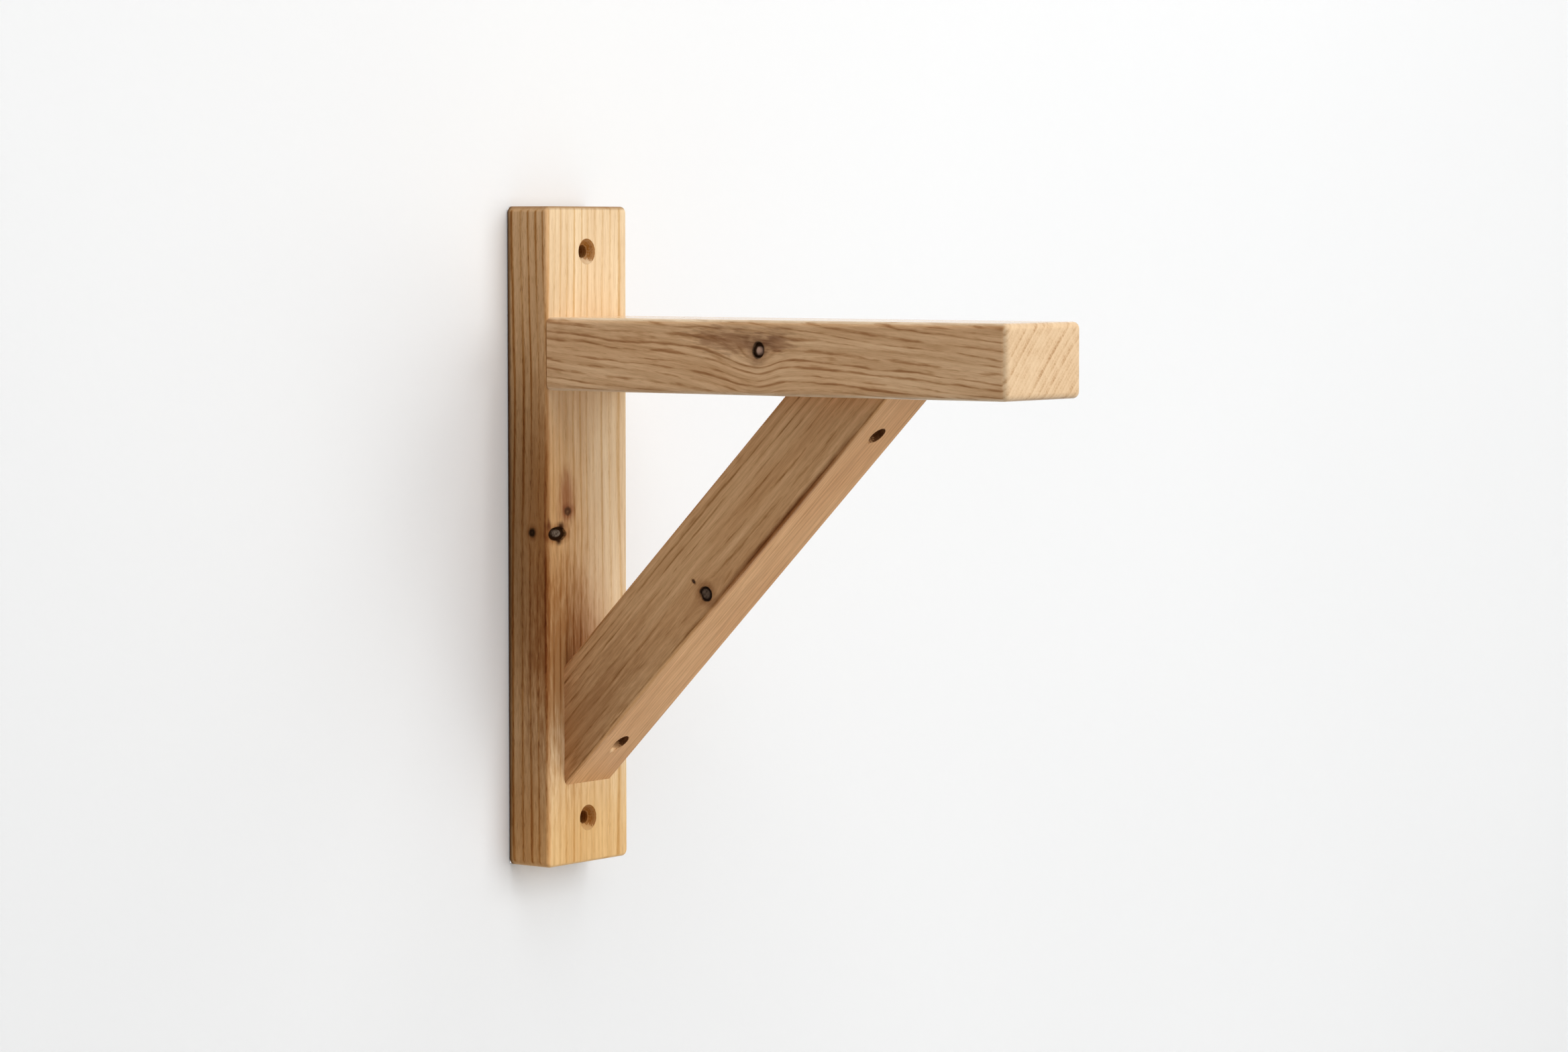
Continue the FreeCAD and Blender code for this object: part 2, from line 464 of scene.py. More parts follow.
def oak_group():
    """Solid oak: growth rings round the tree's heart, broken dark streaks, pores, rays and fibres.
    Lengths are in millimetres from the heart, with Z along the grain."""
    net, given, made = new_group("Oak", [
        ("Place", "Vector", (0, 0, 0)),
        ("Bent", "Vector", (0, 0, 0)),
        ("Normal", "Vector", (0, 0, 1)),
        ("Pale", "Color", (0.8, 0.6, 0.4, 1)),
        ("Deep", "Color", (0.5, 0.3, 0.15, 1)),
        ("Pore", "Color", (0.1, 0.05, 0.02, 1)),
        ("Ring width", "Float", 2.5),
        ("Wander", "Float", 5.0),
        ("Flutter", "Float", 1.2),
        ("Line start", "Float", 0.14),
        ("Line share", "Float", 0.3),
        ("Line fade", "Float", 0.3),
        ("Side streaks", "Float", 0.5),
        ("Front streaks", "Float", 0.5),
        ("Calm", "Float", 1.0),
        ("Front tint", "Color", (1, 1, 1, 1)),
        ("End tint", "Color", (0.90, 0.87, 0.84, 1)),
        ("Front roughness", "Float", 0.30),
        ("Front relief", "Float", 1.0),
        ("Fibres", "Float", 1.0),
        ("Dash", "Float", 16.0),
        ("Breaks", "Float", 1.6),
        ("Fray", "Float", 0.5),
        ("Pores", "Float", 0.6),
        ("Mottle", "Float", 0.3),
    ], [("Colour", "Color"), ("Roughness", "Float"), ("Height", "Float")])
    place = given["Place"]
    bent = given["Bent"]
    sideways, forwards, endways = net.parts(given["Normal"])
    end = net.ease(net.math("ABSOLUTE", endways), 0.12, 0.60)
    side = net.math("SUBTRACT", 1.0, end)
    to_front = net.ease(net.math("ABSOLUTE", forwards), 0.45, 0.85)
    to_side = net.ease(net.math("ABSOLUTE", sideways), 0.45, 0.85)
    streaks = net.ease(to_side, 0.0, 1.0, given["Front streaks"], given["Side streaks"])
    streaks = net.math("MULTIPLY", streaks, given["Calm"])

    # The rings wander and flutter along the grain, and hold a steady curve across it
    steady = net.ease(end, 0.0, 1.0, 1.0, 0.15)
    wander = net.math("SUBTRACT", net.noise(bent, (80, 80, 200), detail=1), 0.5)
    flutter = net.math("SUBTRACT", net.noise(bent, (7, 7, 26), detail=2), 0.5)
    radius = net.vector("LENGTH", net.vector("MULTIPLY", bent, (1, 1, 0)))
    radius = net.math("MULTIPLY_ADD", wander, given["Wander"], radius)
    radius = net.math("MULTIPLY_ADD", net.math("MULTIPLY", flutter, steady), given["Flutter"], radius)

    # Each ring is a little wider or narrower and stronger or weaker than the last
    turn = net.math("DIVIDE", radius, given["Ring width"])
    pace = net.noise(net.joined(turn, 0.0, 0.0), (3.1, 1, 1), detail=1)
    turn = net.math("MULTIPLY_ADD", pace, 1.6, turn)
    number = net.math("FLOOR", turn)
    phase = net.math("SUBTRACT", turn, number)
    strength = net.math("SUBTRACT", net.random(number), 0.5)
    rise = net.ease(phase, 0.0, given["Line start"])
    line_end = net.math("ADD", given["Line share"], given["Line fade"])
    early = net.math("MULTIPLY", rise, net.ease(phase, line_end, given["Line share"]))
    late = net.ease(phase, 0.2, 1.0)

    # Dark streaks where the pores crowd at the start of a ring: they thin out and break off unevenly
    long_dash = net.joined(2.4, 2.4, given["Dash"])
    dash = net.math("SUBTRACT", net.noise(bent, long_dash, detail=2), 0.5)
    frayed = net.math("SUBTRACT", net.noise(bent, (0.6, 0.6, 7.0), detail=3, roughness=0.6), 0.5)
    level = net.math("MULTIPLY_ADD", early, 0.62, net.math("MULTIPLY", strength, 0.34))
    level = net.math("MULTIPLY_ADD", dash, given["Breaks"], level)
    level = net.math("MULTIPLY_ADD", net.math("MULTIPLY", frayed, steady), given["Fray"], level)
    streak = net.ease(level, 0.18, 0.88)
    core = net.ease(level, 0.62, 1.25)

    # Single pores are short grooves along the grain. In end grain they are dots that crowd in rows,
    # one row for every two rings, some strong and some faint
    groove = net.ease(net.noise(bent, (0.42, 0.42, 4.6), detail=2), 0.52, 0.70)
    pore = net.math("MULTIPLY", groove, net.ease(early, 0.0, 0.8, 0.45, 1.0))
    dot = net.ease(net.noise(bent, (0.85, 0.85, 9.0), detail=1), 0.42, 0.66)
    pairs = net.math("MULTIPLY", turn, 0.5)
    pair = net.math("FRACT", pairs)
    pair_strength = net.ease(net.random(net.math("FLOOR", pairs)), 0.1, 0.8, 0.15, 1.0)
    row = net.product(net.ease(pair, 0.0, 0.14), net.ease(pair, 0.62, 0.22), pair_strength)
    row = net.math("MAXIMUM", row, net.math("MULTIPLY", early, 0.25))
    patchy = net.ease(net.noise(bent, (6, 6, 60), detail=1), 0.35, 0.65, 0.4, 1.0)
    crowding = net.math("MULTIPLY_ADD", row, 0.84, 0.16)
    dot_shade = net.math("MULTIPLY_ADD", dot, 0.5, 0.5)
    dotted = net.product(crowding, dot_shade, patchy, end, 0.66)

    # Rays: fine pale lines across the rings in end grain
    x, y, z = net.parts(bent)
    sweep = net.math("MULTIPLY", net.math("ARCTAN2", y, x), 110.0)
    ray = net.ease(net.noise(net.joined(sweep, radius, z), (0.5, 16, 7), detail=1), 0.56, 0.74)
    ray = net.math("MULTIPLY", ray, end)

    # Fibres, and slow changes of tone
    fibre = net.noise(bent, (0.8, 0.8, 17), detail=3, roughness=0.72)
    band = net.noise(bent, (2.8, 2.8, 70), detail=2)
    tone = net.noise(place, (13, 13, 70), detail=3)

    # Rings, rows of pores and streaks each take a share of the deep colour's strength
    streak = net.math("MULTIPLY", streak, side)
    core = net.math("MULTIPLY", core, side)
    ring_shade = net.math("MULTIPLY_ADD", side, 0.06, 0.02)
    depth = net.math("MULTIPLY_ADD", net.math("SUBTRACT", 1.0, late), ring_shade, dotted)
    depth = net.math("MULTIPLY_ADD", streak, streaks, depth)
    stained = net.powered(net.vector("DIVIDE", given["Deep"], given["Pale"]), depth)
    colour = net.mix(1.0, given["Pale"], stained, "MULTIPLY")
    core_share = net.product(core, given["Pores"], net.math("POWER", streaks, 2.0))
    colour = net.mix(core_share, colour, given["Pore"])
    bright = net.mix(1.0, given["Pale"], (1.05, 1.04, 1.02, 1), "MULTIPLY")
    colour = net.mix(net.math("MULTIPLY", ray, 0.35), colour, bright)

    # Fibres, bands and pores darken the wood, and darker wood is warmer
    pored = net.product(pore, side, streaks)
    fibre_shade = net.ease(fibre, 0.25, 0.75, -0.11, 0.09)
    band_shade = net.ease(band, 0.3, 0.7, -0.09, 0.08)
    steadier = net.math("MULTIPLY_ADD", end, -0.8, 1.0)
    shade = net.product(net.math("ADD", fibre_shade, band_shade), given["Fibres"], steadier)
    shade = net.math("ADD", shade, 1.0)
    shade = net.math("MULTIPLY", shade, net.math("MULTIPLY_ADD", pored, -0.30, 1.0))
    warm_shade = net.joined(shade, net.math("POWER", shade, 1.35), net.math("POWER", shade, 1.8))
    colour = net.mix(1.0, colour, warm_shade, "MULTIPLY")
    warm = net.product(net.ease(tone, 0.32, 0.68), given["Mottle"], steady)
    colour = net.mix(warm, colour, (0.74, 0.58, 0.42, 1), "MULTIPLY")

    # End grain has a tint of its own. The faces to the front and back take the front tint, which on the
    # arm is a painted sheen on its top and bottom
    dulled = net.mix(net.math("MULTIPLY", end, 0.5), (1, 1, 1, 1), given["End tint"])
    colour = net.mix(1.0, colour, dulled, "MULTIPLY")
    front_colour = net.mix(1.0, colour, given["Front tint"], "MULTIPLY")
    net.feed(made["Colour"], net.mix(net.math("MULTIPLY", to_front, side), colour, front_colour))

    rough = net.ease(to_front, 0.0, 1.0, 0.30, given["Front roughness"])
    net.feed(made["Roughness"], net.math("MULTIPLY_ADD", streak, 0.14, rough))
    height = net.math("MULTIPLY", pore, -0.012)
    height = net.math("MULTIPLY_ADD", streak, -0.006, height)
    height = net.math("MULTIPLY_ADD", fibre, 0.004, height)
    relief = net.ease(to_front, 0.0, 1.0, 1.0, given["Front relief"])
    net.feed(made["Height"], net.product(height, side, relief))
    return net.tree


def stain_and_painted_light_group():
    """Tints the wood within a soft, ragged oval."""
    net, given, made = new_group("Stain and painted light", [
        ("Colour", "Color", (1, 1, 1, 1)),
        ("Place", "Vector", (0, 0, 0)),
        ("Centre", "Vector", (0, 0, 0)),
        ("Size", "Vector", (5, 5, 5)),
        ("Tint", "Color", (1, 1, 1, 1)),
        ("Ragged", "Float", 0.5),
        ("Roughness", "Float", 0.3),
        ("Matt", "Float", 0.3),
    ], [("Colour", "Color"), ("Roughness", "Float")])
    offset = net.vector("SUBTRACT", given["Place"], given["Centre"])
    distance = net.vector("LENGTH", net.vector("DIVIDE", offset, given["Size"]))
    uneven = net.math("SUBTRACT", net.noise(given["Place"], (1.2, 1.2, 8), detail=3), 0.5)
    distance = net.math("MULTIPLY_ADD", uneven, given["Ragged"], distance)
    share = net.ease(distance, 1.0, 0.15)
    net.feed(made["Colour"], net.mix(share, given["Colour"], given["Tint"], "MULTIPLY"))
    dull = net.math("MULTIPLY", share, given["Matt"])
    net.feed(made["Roughness"], net.math("MAXIMUM", given["Roughness"], dull))
    return net.tree


def bore_group():
    """Darkens the inside of a drilled hole, partly browned by the drill and partly painted shade, but
    leaves pale one torn side, where the light falls.
    """
    net, given, made = new_group("Drilled hole", [
        ("Colour", "Color", (1, 1, 1, 1)),
        ("Place", "Vector", (0, 0, 0)),
        ("Mouth", "Vector", (0, 0, 0)),
        ("Axis", "Vector", (0, 0, 1)),
        ("Pale side", "Vector", (0, 0, 0)),
        ("Radius", "Float", 3.0),
        ("Length", "Float", 20.0),
        ("Tint", "Color", (0.4, 0.3, 0.2, 1)),
    ], [("Colour", "Color")])
    offset = net.vector("SUBTRACT", given["Place"], given["Mouth"])
    above = net.vector("DOT_PRODUCT", offset, given["Axis"])
    around = net.vector("SUBTRACT", offset, net.times(given["Axis"], above))
    share = net.math("DIVIDE", net.vector("LENGTH", around), given["Radius"])
    depth = net.math("MULTIPLY", above, -1.0)
    uneven = net.math("SUBTRACT", net.noise(offset, (0.9, 0.9, 0.9), detail=2), 0.5)
    inside = net.ease(share, 1.10, 1.04)
    inside = net.math("MULTIPLY", inside, net.math("LESS_THAN", depth, given["Length"]))
    below = net.ease(net.math("MULTIPLY_ADD", uneven, 0.25, depth), 0.02, 0.16)
    chatter = net.noise(net.joined(depth, uneven, share), (0.5, 0.25, 0.5), detail=2)
    chatter = net.ease(chatter, 0.3, 0.7, 0.8, 1.0)
    towards = net.math("DIVIDE", net.vector("DOT_PRODUCT", around, given["Pale side"]), given["Radius"])
    pale = net.ease(net.math("MULTIPLY_ADD", uneven, 0.9, towards), 0.28, 0.50, 1.0, 0.32)
    amount = net.product(inside, below, chatter, pale)
    net.feed(made["Colour"], net.mix(amount, given["Colour"], given["Tint"], "MULTIPLY"))
    return net.tree


shared_groups = {}


def shared(build):
    """A node group that is built once and then used again."""
    if build.__name__ not in shared_groups:
        shared_groups[build.__name__] = build()
    return shared_groups[build.__name__]


def new_material(name):
    """An empty material with its net and its Principled shader, linked to the output."""
    material = bpy.data.materials.new(name)
    material.use_nodes = True
    material.node_tree.nodes.clear()
    net = Net(material.node_tree)
    output = net.node("ShaderNodeOutputMaterial")
    shader = net.node("ShaderNodeBsdfPrincipled")
    net.feed(output.inputs["Surface"], shader.outputs[0])
    return material, net, shader


def bumped(net, shader, height, distance):
    """Gives the shader a relief from a height that is measured in units of distance."""
    bump = net.node("ShaderNodeBump")
    net.feed(bump.inputs["Height"], height)
    net.feed(bump.inputs["Distance"], distance)
    net.feed(bump.inputs["Strength"], 1.0)
    net.feed(shader.inputs["Normal"], bump.outputs[0])


class Knot:
    """A knot: its centre in the row frame, the way the grain parts there, and its look."""

    def __init__(self, centre, across, outward, half_across, half_along, **look):
        self.centre = Vector(centre)
        self.across = Vector(across)
        self.outward = Vector(outward)
        self.half_across = half_across
        self.half_along = half_along
        self.look = look


class Timber:
    """How one timber lies in its tree: where the tree's heart runs, and how the grain leans."""

    def __init__(self, heart, lean, **look):
        self.heart = Vector(heart)
        self.lean = lean
        self.turn = Matrix.Rotation(lean, 3, "X").inverted()
        self.look = look

    def place(self, point):
        """A point of the row frame in millimetres from the heart, with Z along the grain."""
        return self.turn @ (Vector(point) - self.heart) / MM

    def direction(self, vector):
        return self.turn @ Vector(vector)


def oak_material(name, settings, oak, timber, knots, stains_and_painted_light, bores):
    """Oak for one timber, with its knots. A stain, which here also serves for painted light and
    shade, is (centre, half sizes across, into and along the grain, tint, raggedness), and a darker one
    is also more matt. A bore is (mouth, outward axis, radius, length, pale side, tint), and its tint
    is partly painted shade."""
    material, net, shader = new_material(name)
    shader.inputs["Specular IOR Level"].default_value = settings.gloss
    source = net.node("ShaderNodeTexCoord")
    mapping = net.node("ShaderNodeMapping", vector_type="TEXTURE")
    net.feed(mapping.inputs["Vector"], source.outputs["Object"])
    mapping.inputs["Location"].default_value = timber.heart
    mapping.inputs["Rotation"].default_value = (timber.lean, 0, 0)
    mapping.inputs["Scale"].default_value = (MM, MM, MM)
    place = mapping.outputs["Vector"]
    turned = net.node("ShaderNodeMapping", vector_type="NORMAL")
    net.feed(turned.inputs["Vector"], source.outputs["Normal"])
    turned.inputs["Rotation"].default_value = (-timber.lean, 0, 0)

    bent = place
    calm = 1.0
    rims = []
    for knot in knots:
        look = knot.look
        reach = look.get("reach", (14.0, 14.0))
        flow = net.group(
            shared(knot_flow_group), Place=place, Bent=bent, Centre=timber.place(knot.centre),
            Across=timber.direction(knot.across), Half_across=knot.half_across / MM,
            Half_along=knot.half_along / MM, Dip=look.get("dip", 0.0), Reach_before=reach[0],
            Reach_after=reach[1], Depth=look.get("depth", 14.0),
            Lopsided=look.get("lopsided", (0, 0, 0)), Trail=look.get("trail", (2.5, 14, 0)),
            Trail_rise=look.get("trail_rise", 0.0), Parting=look.get("parting", 0.75))
        bent = flow["Bent"]
        calm = net.math("MULTIPLY", flow["Calm"], calm)
        rims.append(flow)
    wood = net.group(
        shared(oak_group), Place=place, Bent=bent, Normal=turned.outputs["Vector"],
        Pale=opaque(settings.pale), Deep=opaque(settings.deep), Pore=opaque(oak.pore),
        Ring_width=settings.ring / MM, Calm=calm, **timber.look)
    colour = wood["Colour"]
    height = wood["Height"]
    roughness = wood["Roughness"]
    for centre, size, tint, ragged in stains_and_painted_light:
        stained = net.group(shared(stain_and_painted_light_group), Colour=colour, Roughness=roughness, Place=place,
                            Centre=timber.place(centre), Size=[value / MM for value in size],
                            Tint=opaque(tint), Ragged=ragged, Matt=0.9 - tint[0])
        colour = stained["Colour"]
        roughness = stained["Roughness"]
    for knot, flow in zip(knots, rims):
        look = knot.look
        painted = net.group(
            shared(knot_paint_group), Colour=colour, Height=height, Roughness=roughness, Place=place,
            Distance=flow["Distance"], Heart_distance=flow["Heart distance"], Trail=flow["Trail"],
            Ring_colour=opaque(look.get("ring", oak.knot_black)),
            Heart_colour=opaque(look.get("heart", oak.knot_heart)),
            Halo_colour=opaque(look.get("halo", (0.55, 0.42, 0.32))),
            Halo_reach=look.get("halo_reach", 3.0),
            Ring_start=look.get("ring_start", RING_START), Blur=look.get("blur", 0.10),
            Fleck=look.get("fleck", 0.7))
        colour = painted["Colour"]
        height = painted["Height"]
        roughness = painted["Roughness"]
    for mouth, axis, radius, length, pale_side, tint in bores:
        colour = net.group(shared(bore_group), Colour=colour, Place=place, Mouth=timber.place(mouth),
                           Axis=timber.direction(axis), Pale_side=timber.direction(pale_side),
                           Radius=radius / MM, Length=length / MM, Tint=opaque(tint))["Colour"]
    net.feed(shader.inputs["Base Color"], colour)
    net.feed(shader.inputs["Roughness"], roughness)
    bumped(net, shader, height, MM)
    return material


# Meshes

def new_object(name, bm):
    """An object in the scene whose mesh takes over the bmesh."""
    mesh = bpy.data.meshes.new(name)
    bm.to_mesh(mesh)
    bm.free()
    made = bpy.data.objects.new(name, mesh)
    bpy.context.scene.collection.objects.link(made)
    return made


def new_piece(name, bm):
    """Makes a mesh a piece of the bracket that rides with it."""
    piece = new_object(name, bm)
    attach(piece, ROOT)
    return piece


def paint(piece, material):
    """Gives the whole piece one material."""
    piece.data.materials.clear()
    piece.data.materials.append(material)


def carve(piece, cutters):
    """Cuts each closed cutter mesh out of the piece. Removing a helper's mesh removes the helper."""
    helpers = []
    for bm in cutters:
        helper = new_object("cutter", bm)
        cut = piece.modifiers.new("cut", "BOOLEAN")
        cut.operation = "DIFFERENCE"
        cut.solver = "EXACT"
        cut.object = helper
        helpers.append(helper)
    shown = piece.evaluated_get(bpy.context.evaluated_depsgraph_get())
    carved = bpy.data.meshes.new_from_object(shown)
    piece.modifiers.clear()
    piece.data = carved
    for helper in helpers:
        bpy.data.meshes.remove(helper.data)


def smooth_faces(piece, angle):
    """Smooth shading that keeps flat faces flat and edges sharper than the angle sharp."""
    piece.data.shade_smooth()
    piece.data.set_sharp_from_angle(angle=angle)
    weighted = piece.modifiers.new("even_normals", "WEIGHTED_NORMAL")
    weighted.keep_sharp = True
    weighted.weight = 100


def timber_mesh(node):
    """The CAD timber as one closed mesh, with whole flat faces that shade evenly."""
    bm = bmesh.new()
    bm.from_mesh(frame["nodes"][node].data)
    bmesh.ops.remove_doubles(bm, verts=bm.verts, dist=SAME_POINT)
    bmesh.ops.dissolve_limit(bm, angle_limit=SAME_FACE, use_dissolve_boundaries=False,
                             verts=bm.verts, edges=bm.edges)
    bmesh.ops.recalc_face_normals(bm, faces=bm.faces)
    return bm


def spun(outline, steps):
    """A closed solid of revolution about Z from its half section (radius, height)."""
    bm = bmesh.new()
    corners = [bm.verts.new((radius, 0, height)) for radius, height in outline]
    edges = [bm.edges.new(pair) for pair in zip(corners, corners[1:])]
    bmesh.ops.spin(bm, geom=corners + edges, cent=(0, 0, 0), axis=(0, 0, 1), dvec=(0, 0, 0),
                   angle=2 * math.pi, steps=steps, use_merge=True, use_normal_flip=False,
                   use_duplicate=False)
    bmesh.ops.remove_doubles(bm, verts=bm.verts, dist=SAME_POINT)
    bmesh.ops.recalc_face_normals(bm, faces=bm.faces)
    return bm


def facing(outward, across):
    """A turn that takes +Z to outward and +X to across."""
    outward = Vector(outward).normalized()
    across = Vector(across).normalized()
    along = outward.cross(across)
    return Matrix((across, along, outward)).transposed().to_4x4()


def roughen(bm, amount, grain):
    """Moves every vertex a little sideways, so that a turned shape looks broken out."""
    elsewhere = Vector((9.3, -1.5, -8.0))
    for vert in bm.verts:
        place = vert.co / grain
        vert.co += Vector((noise.noise(place), noise.noise(place + elsewhere), 0)) * amount


def knot_pit(knot, depth):
    """A cutter for the ring of dead bark that has fallen out round a knot's heart. It is turned with
    a radius and a depth of 1, and then scaled to the knot."""
    over = 1.5
    heart = knot.look.get("ring_start", RING_START)
    bm = spun([(0, over), (1.0, over), (1.0, 0.02), (0.94, -0.85), (0.84, -1), (heart + 0.02, -0.9),
               (heart - 0.08, -0.25), (0, -0.12)], 40)
    bmesh.ops.scale(bm, verts=bm.verts, vec=(knot.half_across, knot.half_along, depth))
    roughen(bm, 0.13 * MM, 2.6 * MM)
    lopsided = knot.look.get("lopsided", (0, 0, 0))
    for vert in bm.verts:
        inside = vert.co.x ** 2 / knot.half_across ** 2 + vert.co.y ** 2 / knot.half_along ** 2
        if 0.01 < inside < 0.8 * heart:
            vert.co.x -= lopsided[0] * knot.half_across * 0.6
            vert.co.y -= lopsided[1] * knot.half_along * 0.6
    bmesh.ops.transform(bm, matrix=facing(knot.outward, knot.across), verts=bm.verts)
    bmesh.ops.translate(bm, vec=knot.centre, verts=bm.verts)
    return bm


def chip(centre, outward, across, size):
    """A cutter for a torn-out chip: a shallow, ragged scoop. size is (across, along, deep)."""
    bm = bmesh.new()
    bmesh.ops.create_icosphere(bm, subdivisions=3, radius=1.0)
    for vert in bm.verts:
        vert.co *= 1 + 0.28 * noise.noise(vert.co * 2.3)
    bmesh.ops.scale(bm, verts=bm.verts, vec=size)
    bmesh.ops.transform(bm, matrix=facing(outward, across), verts=bm.verts)
    bmesh.ops.translate(bm, vec=centre, verts=bm.verts)
    return bm


def dress_timber(node, bm, material, knots, depth, extra=()):
    """Replaces a CAD timber with a closed copy that has its knots' pits cut in, in solid oak."""
    piece = new_piece(node + "_oak", bm)
    pits = [knot_pit(knot, depth) for knot in knots if knot.look.get("pit", True)]
    carve(piece, pits + list(extra))
    paint(piece, material)
    smooth_faces(piece, SOFT_CREASE)
    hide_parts(node)


# The plate

def mount(name):
    """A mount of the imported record."""
    return next(item for item in frame["record"]["mounts"] if item["name"] == name)


wall_hole_radius = mount("wall_fixing")["dims"]["hole_r_mm"] * MM
wall_hole_rise = mount("wall_fixing")["dims"]["spacing_y_mm"] * MM / 2
wall_hole_mouth = 2 * wall_hole_radius

# Rounding of the CAD plate's edges
cad_arris = 3.0 * MM

# A point on the line of the tree's heart, which ran behind the plate and to its right
plate_heart = (71.3 * MM, 75 * MM, 0)


def plate_knots(settings):
    """The black knot and its small neighbour on the front, and the little one on the side."""
    front = plate_low.y
    side = plate_low.x
    right = (1, 0, 0)
    into = (0, 1, 0)
    return [
        Knot((-21.7 * MM, front, 1.8 * MM), right, (0, -1, 0), settings.knot / 2, 3.3 * MM,
             depth=6.0, lopsided=(0.22, -0.16, 0), halo=(0.62, 0.46, 0.34),
             halo_reach=1.9, ring_start=0.60, blur=0.13, parting=0.25),
        Knot((-14.2 * MM, front, 11.8 * MM), right, (0, -1, 0), 2.4 * MM, 2.0 * MM, depth=4.0,
             lopsided=(0.1, 0.5, 0), ring=(0.12, 0.050, 0.022), heart=(0.27, 0.13, 0.06),
             halo=(0.60, 0.42, 0.34), halo_reach=2.6, ring_start=0.62, blur=0.34, parting=0.25,
             pit=False),
        Knot((side, -14.3 * MM, 2.4 * MM), into, (-1, 0, 0), 2.0 * MM, 2.1 * MM, depth=4.0,
             ring=(0.022, 0.009, 0.003), heart=(0.075, 0.034, 0.014), halo=(0.62, 0.50, 0.40),
             halo_reach=2.4, ring_start=0.55, blur=0.42, pit=False),
    ]


def plate_stains_and_painted_shade():
    """The browner wood round the plate's knots, down its left side and towards its bottom, and the
    darker lines along its edges. The browner front below the knot is partly painted shade, and the
    dark lines at the wall and along the top are painted shade."""
    front = plate_low.y
    side = plate_low.x
    return [
        # The purple-brown streak above the black knot, and the bark that spreads from its rim
        ((-15 * MM, front, 18 * MM), (9 * MM, 9 * MM, 20 * MM), (0.58, 0.42, 0.37), 0.6),
        ((-19.2 * MM, front, 4.6 * MM), (3.4 * MM, 2 * MM, 3.8 * MM), (0.10, 0.06, 0.035), 0.15),
        ((-20.6 * MM, front, -1.2 * MM), (3.0 * MM, 2 * MM, 3.0 * MM), (0.10, 0.06, 0.035), 0.15),
        # The side: warmer all over, and darker beside the knot and towards the bottom
        ((side, -11 * MM, -10 * MM), (3.2 * MM, 60 * MM, 600 * MM), (1.0, 0.81, 0.655), 0.3),
        ((side, -11 * MM, -10 * MM), (3.4 * MM, 60 * MM, 210 * MM), (0.79, 0.73, 0.67), 0.4),
        ((side, -11 * MM, 5 * MM), (3.4 * MM, 60 * MM, 105 * MM), (0.66, 0.62, 0.57), 0.4),
        ((side, -11 * MM, -115 * MM), (3.4 * MM, 60 * MM, 60 * MM), (0.90, 0.90, 0.90), 0.8),
        # The front: honey coloured on the left, browner below the knot, partly the wood's own tone and
        # partly painted shade from the brace and the arm, and browner beside the knot
        ((-29 * MM, front, 0), (46 * MM, 20 * MM, 100 * MM), (0.93, 0.76, 0.56), 0.4),
        ((-20 * MM, front, -58 * MM), (32 * MM, 20 * MM, 74 * MM), (0.66, 0.51, 0.38), 1.2),
        ((-27.5 * MM, front, 6.0 * MM), (2.4 * MM, 2.4 * MM, 4 * MM), (0.40, 0.27, 0.20), 1.0),
        # A dark line along the left front edge, and painted shade along the edge at the wall
        ((side, front + 1 * MM, -25 * MM), (0.9 * MM, 0.9 * MM, 95 * MM), (0.66, 0.47, 0.34), 1.2),
        ((side, 0, 0), (4 * MM, 3.0 * MM, 500 * MM), (0.12, 0.075, 0.04), 0.2),
        # The warmer bottom, and a dark line along the top that is painted shade against the light from
        # above
        ((0, front, -150 * MM), (80 * MM, 60 * MM, 75 * MM), (0.95, 0.79, 0.55), 0.3),
        ((0, front, plate_high.z), (500 * MM, 500 * MM, 2.0 * MM), (0.50, 0.40, 0.31), 0.2),
    ] + [
        # Narrow brown streaks down the front, below the knot
        ((across * MM, front, -64 * MM), (0.9 * MM, 3 * MM, 54 * MM), (0.70, 0.58, 0.47), 0.5)
        for across in (-24.4, -19.6, -15.1, -10.2, -5.0)
    ]


def tighten(bm, face, radius):
    """Draws the rounding round the plate's front or back face in to a smaller radius. The corners
    keep their larger radius as seen from the front."""
    near = 0.01 * MM
    barely = 1e-10
    for vert in bm.verts:
        place = vert.co
        depth = abs(place.y - face)
        sides = [abs(place.x) - (plate_high.x - cad_arris), abs(place.z) - (plate_high.z - cad_arris)]
        if depth > cad_arris + near or max(sides) < -near:
            continue
        out = Vector([max(side, barely) if side > -near else 0.0 for side in sides])
        out *= (cad_arris - (cad_arris - out.length) * radius / cad_arris) / out.length
        place.y = face + (place.y - face) * radius / cad_arris
        if sides[0] > -near:
            place.x = math.copysign(plate_high.x - cad_arris + out.x, place.x)
        if sides[1] > -near:
            place.z = math.copysign(plate_high.z - cad_arris + out.y, place.z)


def wall_bores():
    """The two wall holes, browned by the drill and darkened with painted shade, except for a torn side
    down and to the left where the light falls. They stop just short of the plate's back, which the
    drill left clean."""
    length = plate_high.y - plate_low.y - 0.05 * MM
    torn = (-0.45, 0, -0.9)
    brown = (0.36, 0.18, 0.028)
    return [((0, plate_low.y, end * wall_hole_rise), (0, -1, 0), wall_hole_mouth, length, torn, brown)
            for end in (-1, 1)]


